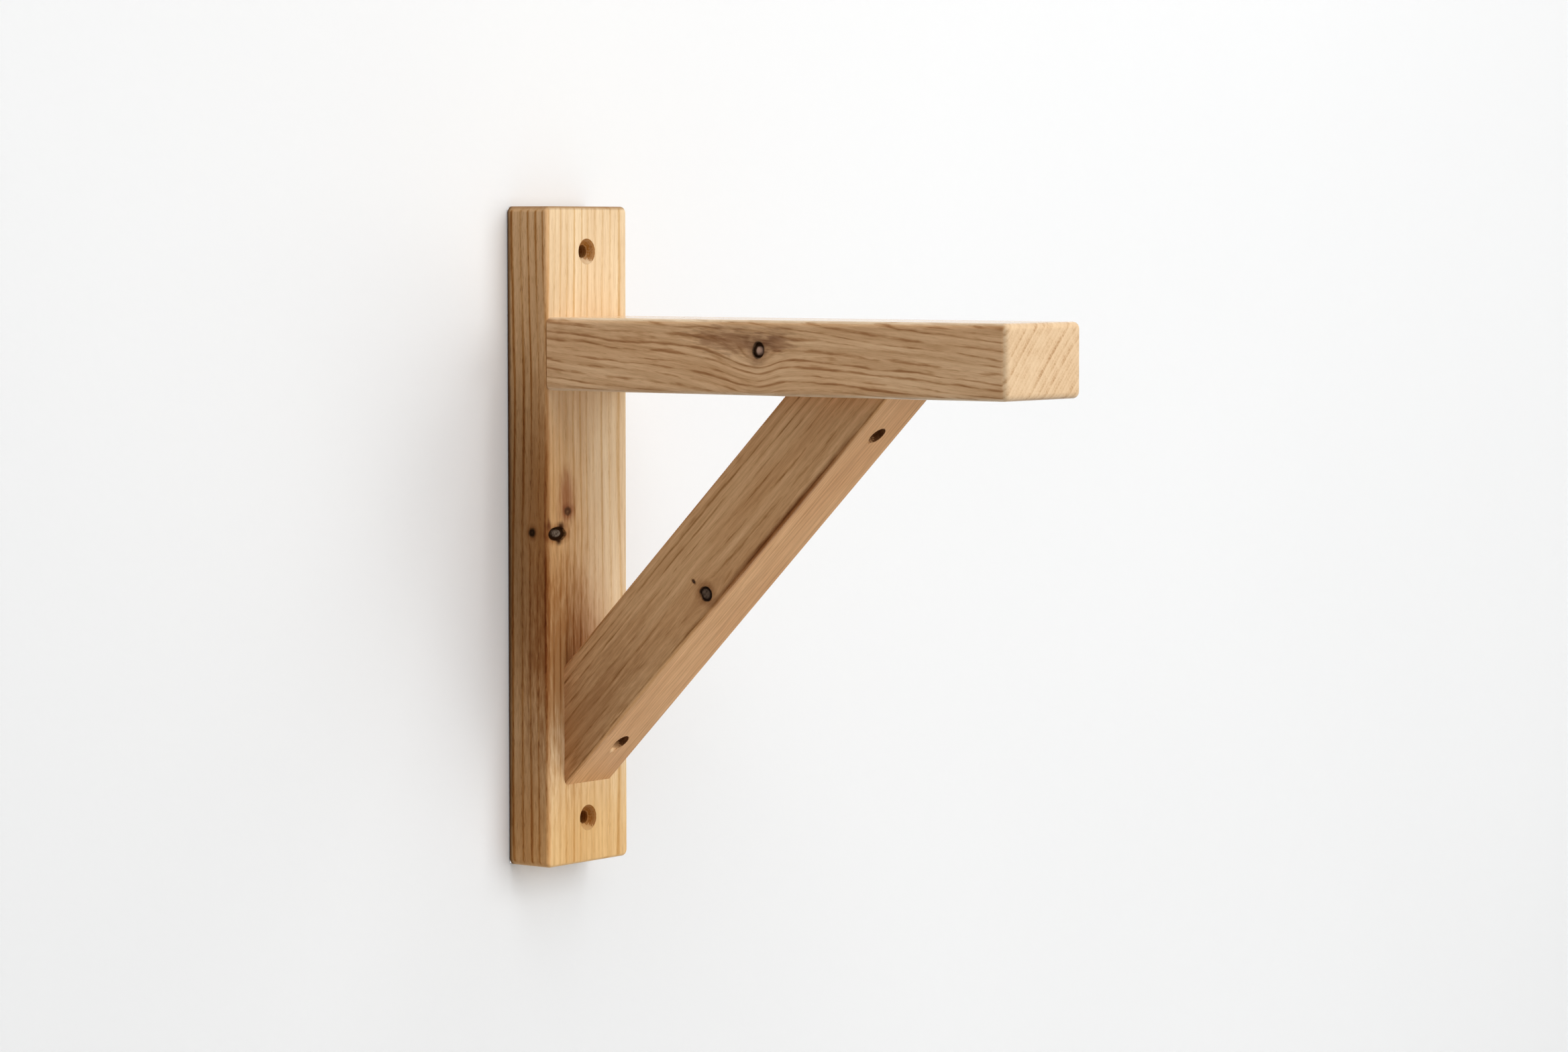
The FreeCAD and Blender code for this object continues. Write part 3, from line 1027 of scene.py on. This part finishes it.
class BRACKET_OT_back_plate(Operator):
    """Dresses the wall plate in oak, with the black knot on its front"""

    bl_idname = "bracket.back_plate"
    bl_label = "Back plate"

    def execute(self, context):
        settings = context.scene.bracket
        timber = Timber(plate_heart, 0.0, Wander=5.0, Flutter=0.5, Line_start=0.26, Line_share=0.20,
                        Line_fade=0.40, Side_streaks=1.4, Front_streaks=0.48, Dash=90.0, Breaks=1.1,
                        Fray=0.3, Pores=0.25, Fibres=0.6, Mottle=0.26)
        knots = plate_knots(settings.plate)
        material = oak_material("oak_plate", settings.plate, settings.oak, timber, knots,
                                plate_stains_and_painted_shade(), wall_bores())
        board = timber_mesh("back_plate")
        tighten(board, plate_low.y, settings.plate.front_arris)
        tighten(board, plate_high.y, settings.plate.back_arris)
        dress_timber("back_plate", board, material, knots, settings.oak.pit_depth)
        return {"FINISHED"}


# The arm

# Its tree's heart ran below it and to its right, and its grain is a little off level
arm_heart = (150 * MM, 0, -48 * MM)
arm_lean = math.radians(95)


def arm_knots(settings):
    """The dark knot on the arm's left side, with a pale heart that is partly its own colour and partly
    a painted highlight.
    """
    side = arm_low.x
    up = (0, 0, 1)
    return [
        # The knot's pale heart is partly its own colour and partly a painted highlight
        Knot((side, -142.6 * MM, 87.0 * MM), up, (-1, 0, 0), settings.knot / 2, 3.2 * MM,
             dip=7.0, reach=(24.0, 13.0), depth=22.0, lopsided=(0.16, -0.30, 0),
             halo=(0.50, 0.41, 0.37), heart=(0.64, 0.40, 0.29), halo_reach=2.6, ring_start=0.60,
             blur=0.18, fleck=0.15, trail=(3.6, 11.0, 1.0), trail_rise=0.62, parting=0.3),
    ]


def arm_stains_and_painted_shade():
    """The browner grain that runs into the knot from above on both sides, and the dark line under
    the end, which is painted shade on the edge that faces down."""
    side = arm_low.x
    return [
        ((side, -126.0 * MM, 90.8 * MM), (8 * MM, 8.0 * MM, 28 * MM), (0.60, 0.51, 0.47), 2.0),
        ((side, -152.5 * MM, 90.6 * MM), (8 * MM, 6.5 * MM, 14 * MM), (0.60, 0.51, 0.47), 2.0),
        # Painted shade along the lower edge of the end, which faces down
        ((0, arm_low.y, arm_low.z), (60 * MM, 1.3 * MM, 2.6 * MM), (0.42, 0.30, 0.20), 0.2),
    ]


class BRACKET_OT_arm(Operator):
    """Dresses the arm in oak, with the dark knot on its side and its end grain"""

    bl_idname = "bracket.arm"
    bl_label = "Arm"

    def execute(self, context):
        settings = context.scene.bracket
        # Its top and bottom faces take a paler front tint: a painted sheen from the light above
        timber = Timber(arm_heart, arm_lean, Wander=6.0, Flutter=2.2, Line_start=0.22, Line_share=0.16,
                        Line_fade=0.40, Side_streaks=0.54, Front_streaks=0.2,
                        Front_tint=(1.03, 1.26, 1.58, 1), End_tint=(0.79, 1.04, 1.30, 1),
                        Front_roughness=0.12, Front_relief=0.1, Dash=14.0, Breaks=1.9, Fray=0.5,
                        Pores=0.34, Mottle=0.34)
        knots = arm_knots(settings.arm)
        material = oak_material("oak_arm", settings.arm, settings.oak, timber, knots, arm_stains_and_painted_shade(), [])
        dress_timber("arm", timber_mesh("arm"), material, knots, settings.oak.pit_depth)
        return {"FINISHED"}


# The brace

pocket_radius = 4.2 * MM
pocket_length = 40 * MM
# The pockets' inside: browned by the drill, and painted shade down in them
pocket_tint = (0.16, 0.085, 0.04)

# A point on the line of the tree's heart, which ran to the brace's right and just below it
brace_heart = brace_foot + Vector((61.2, 30, -55)) * MM


def brace_pockets():
    """The screw pockets as drilled holes, with their mouths straight above the screws on the outer
    face. Their insides are browned by the drill and darkened with painted shade. The lower one has
    more pale torn wood on its lower side."""
    pockets = []
    for end in ("lower", "upper"):
        low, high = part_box("brace_screw_" + end)
        middle = (low + high) / 2
        rise = (brace_foot - middle).dot(brace_outward)
        mouth = middle + brace_outward * rise
        torn = (-brace_along + Vector((-0.4, 0, 0))) * (0.9 if end == "lower" else 0.45)
        pockets.append((mouth, brace_outward, pocket_radius, pocket_length, torn, pocket_tint))
    return pockets


def brace_knots(settings):
    """The ringed knot on the brace's left side, and the small mark above it."""
    side = brace_low.x
    inner = -brace_outward
    return [
        Knot((side, -104.5 * MM, -21.9 * MM), inner, (-1, 0, 0), settings.knot / 2, 3.2 * MM,
             dip=0.7, reach=(12.0, 12.0), depth=12.0, ring=(0.03, 0.014, 0.008),
             heart=(0.15, 0.10, 0.07), halo=(0.55, 0.44, 0.36), halo_reach=2.4, ring_start=0.74,
             blur=0.12, trail=(3.4, 20.0, 0.28)),
        Knot((side, -97.7 * MM, -16.8 * MM), inner, (-1, 0, 0), 1.2 * MM, 0.7 * MM, depth=6.0,
             ring=(0.08, 0.04, 0.02), heart=(0.1, 0.05, 0.03), halo_reach=2.0, ring_start=0.5, blur=0.3,
             pit=False),
    ]


def brace_stains_and_painted_light():
    """Painted shade along the arris on the upper half of the outer left edge, darker wood by the foot,
    and at the lower pocket painted light on the wall that the light reaches and on the pale torn
    wood, which is partly its own colour."""
    left = Vector((brace_low.x, 0, 0))
    edge = brace_foot + brace_along * 175 * MM + left
    foot = brace_foot + brace_along * 20 * MM - brace_outward * 14 * MM + left
    mouth = brace_pockets()[0][0]
    # Where light is painted on the lower pocket's wall and on its torn wood
    lit = mouth - brace_along * 3.2 * MM - Vector((1.0 * MM, 0, 0))
    torn = mouth - brace_along * 4.8 * MM - Vector((1.5 * MM, 0, 0))
    return [
        # Painted shade on the arris, which faces down and away from the light
        (edge, (3.6 * MM, 3.6 * MM, 110 * MM), (0.36, 0.22, 0.12), 0.4),
        (foot, (8 * MM, 30 * MM, 95 * MM), (0.74, 0.68, 0.62), 1.2),
        # Painted light on the pocket's wall
        (lit, (3.8 * MM, 7 * MM, 3.8 * MM), (1.4, 1.5, 1.6), 0.3),
        # Pale torn wood, partly its own colour and partly painted light
        (torn, (2.2 * MM, 1.6 * MM, 2.6 * MM), (1.16, 1.50, 1.9), 0.4),
    ]


def pocket_chips():
    """Wood torn out of the lower rim of each screw pocket, more of it at the lower one."""
    across = Vector((1, 0, 0))
    chips = []
    for (mouth, *_), size in zip(brace_pockets(), ((2.3, 1.9, 1.0), (1.3, 1.0, 0.7))):
        rim = mouth - brace_along * 4.0 * MM - across * 1.2 * MM
        chips.append(chip(rim, brace_outward, across, [value * MM for value in size]))
    return chips


class BRACKET_OT_brace(Operator):
    """Dresses the brace in oak, with the ringed knot on its side and the chip by its lower screw"""

    bl_idname = "bracket.brace"
    bl_label = "Brace"

    def execute(self, context):
        settings = context.scene.bracket
        timber = Timber(brace_heart, brace_lean, Wander=2.0, Flutter=0.6, Line_start=0.2,
                        Line_share=0.10, Line_fade=0.30, Side_streaks=0.62, Front_streaks=0.2,
                        Front_tint=(1.0, 0.96, 0.87, 1), Dash=18.0, Breaks=1.6, Fray=0.7, Pores=0.30,
                        Mottle=0.36)
        knots = brace_knots(settings.brace)
        material = oak_material("oak_brace", settings.brace, settings.oak, timber, knots,
                                brace_stains_and_painted_light(), brace_pockets())
        dress_timber("brace", timber_mesh("brace"), material, knots, settings.oak.pit_depth,
                     pocket_chips())
        return {"FINISHED"}


# The screws

# Radii and lengths as shares of the thread's diameter
core_share = 0.35
crest_share = 0.495
shank_share = 0.37
pitch_share = 0.5
taper_share = 1.6

# The share of a screw's length that has no thread, and the upright rim of its head
plain_share = 0.35
head_rim = 0.5 * MM


def measured(node, outward):
    """A screw's head top, its length and its widest radius, read from the CAD node."""
    corners = [vert.co for vert in frame["nodes"][node].data.vertices]
    reach = [corner.dot(outward) for corner in corners]
    tip = corners[reach.index(min(reach))]
    length = max(reach) - min(reach)
    radius = max((corner - tip - outward * (corner - tip).dot(outward)).length for corner in corners)
    return tip + outward * length, length, radius


def thread(core, crest, pitch, start, end, tip):
    """A helical ridge round a screw's core that dies away at both ends; start and end are heights."""
    steps = 16
    turns = (start - end) / pitch
    inner = core * 0.9
    half_root = pitch * 0.22
    half_crest = pitch * 0.05
    bm = bmesh.new()
    corners = [bm.verts.new(place) for place in (
        (inner, 0, end - half_root), (crest, 0, end - half_crest), (crest, 0, end + half_crest),
        (inner, 0, end + half_root))]
    edges = [bm.edges.new(pair) for pair in zip(corners, corners[1:] + corners[:1])]
    bmesh.ops.spin(bm, geom=corners + edges, cent=(0, 0, 0), axis=(0, 0, 1),
                   dvec=(0, 0, pitch / steps), angle=2 * math.pi * turns, steps=round(steps * turns),
                   use_merge=False, use_normal_flip=False, use_duplicate=False)
    bmesh.ops.holes_fill(bm, edges=[edge for edge in bm.edges if edge.is_boundary], sides=0)
    for vert in bm.verts:
        out = Vector((vert.co.x, vert.co.y)).length
        fade = min(1, max(0, (start - vert.co.z) / (2 * pitch)))
        point = min(1, max(0, (vert.co.z - tip) / (end - tip + 3 * pitch)))
        wanted = (inner + (out - inner) * fade) * point
        vert.co.x *= wanted / out
        vert.co.y *= wanted / out
    bmesh.ops.recalc_face_normals(bm, faces=bm.faces)
    return bm


def cross_cutter(radius):
    """Two crossed wedges, narrower towards their bottom, for the recess in a head."""
    depth = radius * 0.56
    top = (radius * 0.58, radius * 0.135, depth * 0.1)
    bottom = (radius * 0.26, radius * 0.10, -depth)
    cutters = []
    for turn in (0, math.pi / 2):
        bm = bmesh.new()
        bmesh.ops.create_cube(bm, size=2.0)
        for vert in bm.verts:
            half_length, half_width, height = bottom if vert.co.z < 0 else top
            vert.co = (vert.co.x * half_length, vert.co.y * half_width, height)
        bmesh.ops.rotate(bm, verts=bm.verts, cent=(0, 0, 0), matrix=Matrix.Rotation(turn, 3, "Z"))
        cutters.append(bm)
    return cutters


def add_mesh(bm, other):
    """Adds the other bmesh to the first, and frees it."""
    mesh = bpy.data.meshes.new("added")
    other.to_mesh(mesh)
    other.free()
    bm.from_mesh(mesh)
    bpy.data.meshes.remove(mesh)


def wood_screw(node, outward, diameter, material):
    """Replaces a CAD screw with one that has a helical thread, a rounded head and a cross recess."""
    head_top, length, head = measured(node, outward)
    core = diameter * core_share
    crest = diameter * crest_share
    shank = diameter * shank_share
    under = head_rim + head - shank
    thread_top = -max(length * plain_share, under + crest)
    taper = length - diameter * taper_share
    body = spun([
        (0, 0), (head * 0.93, 0), (head * 0.985, -head_rim * 0.25), (head, -head_rim * 0.6),
        (head, -head_rim), (shank + 0.3 * MM, -under + 0.25 * MM), (shank, -under - 0.3 * MM),
        (shank, thread_top), (core, thread_top - (shank - core)), (core, -taper),
        (core * 0.55, -length + diameter * 0.6), (0, -length)], 36)
    piece = new_piece(node + "_zinc", body)
    carve(piece, cross_cutter(head))
    ridge = thread(core, crest, diameter * pitch_share, thread_top + diameter * 0.2, -taper, -length)
    bm = bmesh.new()
    bm.from_mesh(piece.data)
    add_mesh(bm, ridge)
    bmesh.ops.transform(bm, matrix=facing(outward, (1, 0, 0)), verts=bm.verts)
    bmesh.ops.translate(bm, vec=head_top, verts=bm.verts)
    bm.to_mesh(piece.data)
    bm.free()
    paint(piece, material)
    smooth_faces(piece, METAL_CREASE)
    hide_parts(node)


def zinc_material(settings):
    """Bright zinc plating, clouded and finely scratched."""
    material, net, shader = new_material("zinc_plated_steel")
    source = net.node("ShaderNodeTexCoord")
    place = net.times(source.outputs["Object"], 1 / MM)
    cloud = net.noise(place, (2.6, 2.6, 2.6), detail=4)
    scratch = net.noise(place, (0.25, 3.0, 0.25), detail=2)
    tinted = net.mix(net.ease(cloud, 0.35, 0.7), opaque(settings.zinc), (0.60, 0.56, 0.46, 1))
    dull = net.mix(net.ease(scratch, 0.55, 0.8, 0.0, 0.5), tinted, (0.42, 0.42, 0.42, 1))
    net.feed(shader.inputs["Base Color"], dull)
    shader.inputs["Metallic"].default_value = 1.0
    net.feed(shader.inputs["Roughness"], net.ease(cloud, 0.2, 0.8, 0.26, 0.46))
    bumped(net, shader, net.math("MULTIPLY", scratch, 0.01), MM)
    return material


class BRACKET_OT_screws(Operator):
    """Puts threaded, zinc plated wood screws in place of the four plain ones"""

    bl_idname = "bracket.screws"
    bl_label = "Screws"

    def execute(self, context):
        settings = context.scene.bracket.screws
        material = zinc_material(settings)
        for side in ("left", "right"):
            wood_screw("arm_screw_" + side, Vector((0, 1, 0)), settings.arm_thread, material)
        for end in ("lower", "upper"):
            wood_screw("brace_screw_" + end, brace_outward, settings.brace_thread, material)
        return {"FINISHED"}


# The stage

# The camera's place and turn, and its sensor's width in millimetres
camera_place = (-1.65278, -1.37228, 0.13635)
camera_tilt = math.radians(86.4573)
camera_heading = math.radians(-53.1829)
camera_sensor = 36.0


def backdrop_mesh(drop, edge):
    """A wall with an opening behind the plate, rounded into a floor that runs out to the front. The
    opening is smaller than the plate by edge all round, and a round patch closes each wall hole."""
    half_width = 6.0
    height = 4.0
    depth = 6.0
    cove = 0.3
    behind = 0.05 * MM
    low = -drop + cove
    bm = bmesh.new()
    bm.faces.new([bm.verts.new(place) for place in (
        (-half_width, behind, low), (half_width, behind, low), (half_width, behind, height),
        (-half_width, behind, height))])
    for point, normal in ((plate_low.x + edge, (1, 0, 0)), (plate_high.x - edge, (1, 0, 0)),
                          (plate_low.z + edge, (0, 0, 1)), (plate_high.z - edge, (0, 0, 1))):
        everything = bm.verts[:] + bm.edges[:] + bm.faces[:]
        bmesh.ops.bisect_plane(bm, geom=everything, plane_co=Vector(normal) * point, plane_no=normal)
    opening = [face for face in bm.faces if face.calc_center_median().length < MM]
    bmesh.ops.delete(bm, geom=opening, context="FACES")
    stopper = wall_hole_radius * 1.1
    upright = Matrix.Rotation(math.pi / 2, 4, "X")
    for end in (-1, 1):
        place = Matrix.Translation((0, behind, end * wall_hole_rise))
        bmesh.ops.create_circle(bm, cap_ends=True, radius=stopper, segments=24, matrix=place @ upright)
    bottom = [side for side in bm.edges if max(abs(vert.co.z - low) for vert in side.verts) < MM]
    ends = [vert for vert in bm.verts if any(side in bottom for side in vert.link_edges)]
    curved = bmesh.ops.spin(bm, geom=ends + bottom, cent=(0, behind - cove, low), axis=(1, 0, 0),
                            dvec=(0, 0, 0), angle=-math.pi / 2, steps=16, use_merge=False,
                            use_normal_flip=False, use_duplicate=False)
    last = [item for item in curved["geom_last"] if isinstance(item, bmesh.types.BMEdge)]
    run = bmesh.ops.extrude_edge_only(bm, edges=last)
    front = [item for item in run["geom"] if isinstance(item, bmesh.types.BMVert)]
    bmesh.ops.translate(bm, vec=(0, -depth, 0), verts=front)
    bm.normal_update()
    towards_room = Vector((0, -1, 1))
    for face in bm.faces:
        if face.normal.dot(towards_room) < 0:
            face.normal_flip()
    return bm


def backdrop_material(settings):
    """Matt white paint with a faint roller texture; seen from behind it lets the view through."""
    material, net, shader = new_material("backdrop_paint")
    source = net.node("ShaderNodeTexCoord")
    place = source.outputs["Object"]
    mottle = net.noise(place, (0.5, 0.5, 0.5), detail=2)
    soft = net.mix(net.ease(mottle, 0.3, 0.7, 0.0, 1.0), opaque(settings.wall),
                   opaque([value * 0.985 for value in settings.wall]))
    net.feed(shader.inputs["Base Color"], net.mix(net.seen(), (0.5, 0.5, 0.5, 1), soft))
    shader.inputs["Roughness"].default_value = 0.9
    shader.inputs["Specular IOR Level"].default_value = 0.1
    roller = net.noise(place, (0.004, 0.004, 0.004), detail=3)
    bumped(net, shader, roller, 0.1 * MM)
    through = net.node("ShaderNodeBsdfTransparent")
    facing_away = net.node("ShaderNodeNewGeometry")
    both = net.node("ShaderNodeMixShader")
    net.feed(both.inputs[0], facing_away.outputs["Backfacing"])
    net.feed(both.inputs[1], shader.outputs[0])
    net.feed(both.inputs[2], through.outputs[0])
    output = next(node for node in material.node_tree.nodes
                  if node.bl_idname == "ShaderNodeOutputMaterial")
    net.feed(output.inputs["Surface"], both.outputs[0])
    return material


def ambient_world(settings):
    """Even light from all round, which the camera and reflections see as a pale room."""
    world = bpy.data.worlds.new("studio")
    world.use_nodes = True
    world.node_tree.nodes.clear()
    net = Net(world.node_tree)
    output = net.node("ShaderNodeOutputWorld")
    light = net.node("ShaderNodeBackground")
    light.inputs["Color"].default_value = (0.98, 0.99, 1.0, 1.0)
    net.feed(light.inputs["Strength"], net.ease(net.seen(), 0.0, 1.0, settings.ambient, 0.9))
    net.feed(output.inputs["Surface"], light.outputs[0])
    bpy.context.scene.world = world


def soft_lamp(name, side, height, power, settings):
    """A square lamp that points at the bracket; side 0 is straight in front of it."""
    middle = (cad_box[0] + cad_box[1]) / 2
    outward = Vector((math.sin(side) * math.cos(height), -math.cos(side) * math.cos(height),
                      math.sin(height)))
    data = bpy.data.lights.new(name, "AREA")
    data.shape = "SQUARE"
    data.size = settings.lamp_size
    data.energy = power
    data.color = (1.0, 0.995, 0.985)
    lamp = bpy.data.objects.new(name, data)
    bpy.context.scene.collection.objects.link(lamp)
    lamp.location = middle + outward * settings.lamp_distance
    lamp.rotation_euler = (-outward).to_track_quat("-Z", "Y").to_euler()
    lamp.visible_camera = False


class BRACKET_OT_stage(Operator):
    """Sets up the pale wall and floor, the soft lights and the camera"""

    bl_idname = "bracket.stage"
    bl_label = "Stage"

    def execute(self, context):
        settings = context.scene.bracket.stage
        plate = context.scene.bracket.plate
        backdrop = new_object("backdrop", backdrop_mesh(settings.floor_drop, plate.back_arris))
        paint(backdrop, backdrop_material(settings))
        backdrop.data.shade_smooth()
        backdrop.data.set_sharp_from_angle(angle=SOFT_CREASE)
        ambient_world(settings)
        for name, side, height, power in (
                ("key", settings.key_side, settings.key_height, settings.key),
                ("above", math.radians(-12), math.radians(60), settings.top),
                ("behind", math.radians(200), math.radians(20), settings.key)):
            soft_lamp(name, side, height, power, settings)

        camera_data = bpy.data.cameras.new("camera")
        camera_data.sensor_width = camera_sensor
        camera_data.lens = settings.lens
        camera = bpy.data.objects.new("camera", camera_data)
        context.scene.collection.objects.link(camera)
        camera.location = camera_place
        camera.rotation_euler = (camera_tilt, 0, camera_heading)
        context.scene.camera = camera
        context.scene.view_settings.view_transform = "Standard"
        return {"FINISHED"}


class BRACKET_PT_panel(Panel):
    """Lists the bracket's settings and the steps that build it"""

    bl_idname = "BRACKET_PT_panel"
    bl_label = "Shelf Bracket"
    bl_space_type = "VIEW_3D"
    bl_region_type = "UI"
    bl_category = "Bracket"

    def draw(self, context):
        settings = context.scene.bracket
        for label, group, step in (
                ("Oak", settings.oak, None),
                ("Plate", settings.plate, BRACKET_OT_back_plate),
                ("Arm", settings.arm, BRACKET_OT_arm),
                ("Brace", settings.brace, BRACKET_OT_brace),
                ("Screws", settings.screws, BRACKET_OT_screws),
                ("Stage", settings.stage, BRACKET_OT_stage)):
            box = self.layout.box()
            box.label(text=label)
            for name in group.__annotations__:
                box.prop(group, name)
            if step:
                box.operator(step.bl_idname)


classes = (
    OakSettings, PlateSettings, ArmSettings, BraceSettings, ScrewSettings, StageSettings,
    BracketSettings, BRACKET_OT_back_plate, BRACKET_OT_arm, BRACKET_OT_brace, BRACKET_OT_screws,
    BRACKET_OT_stage, BRACKET_PT_panel)


def register():
    for cls in classes:
        bpy.utils.register_class(cls)
    bpy.types.Scene.bracket = PointerProperty(type=BracketSettings)


def unregister():
    del bpy.types.Scene.bracket
    for cls in reversed(classes):
        bpy.utils.unregister_class(cls)


def main():
    register()
    bpy.ops.bracket.stage()
    bpy.ops.bracket.back_plate()
    bpy.ops.bracket.arm()
    bpy.ops.bracket.brace()
    bpy.ops.bracket.screws()


if __name__ == "__main__":
    main()
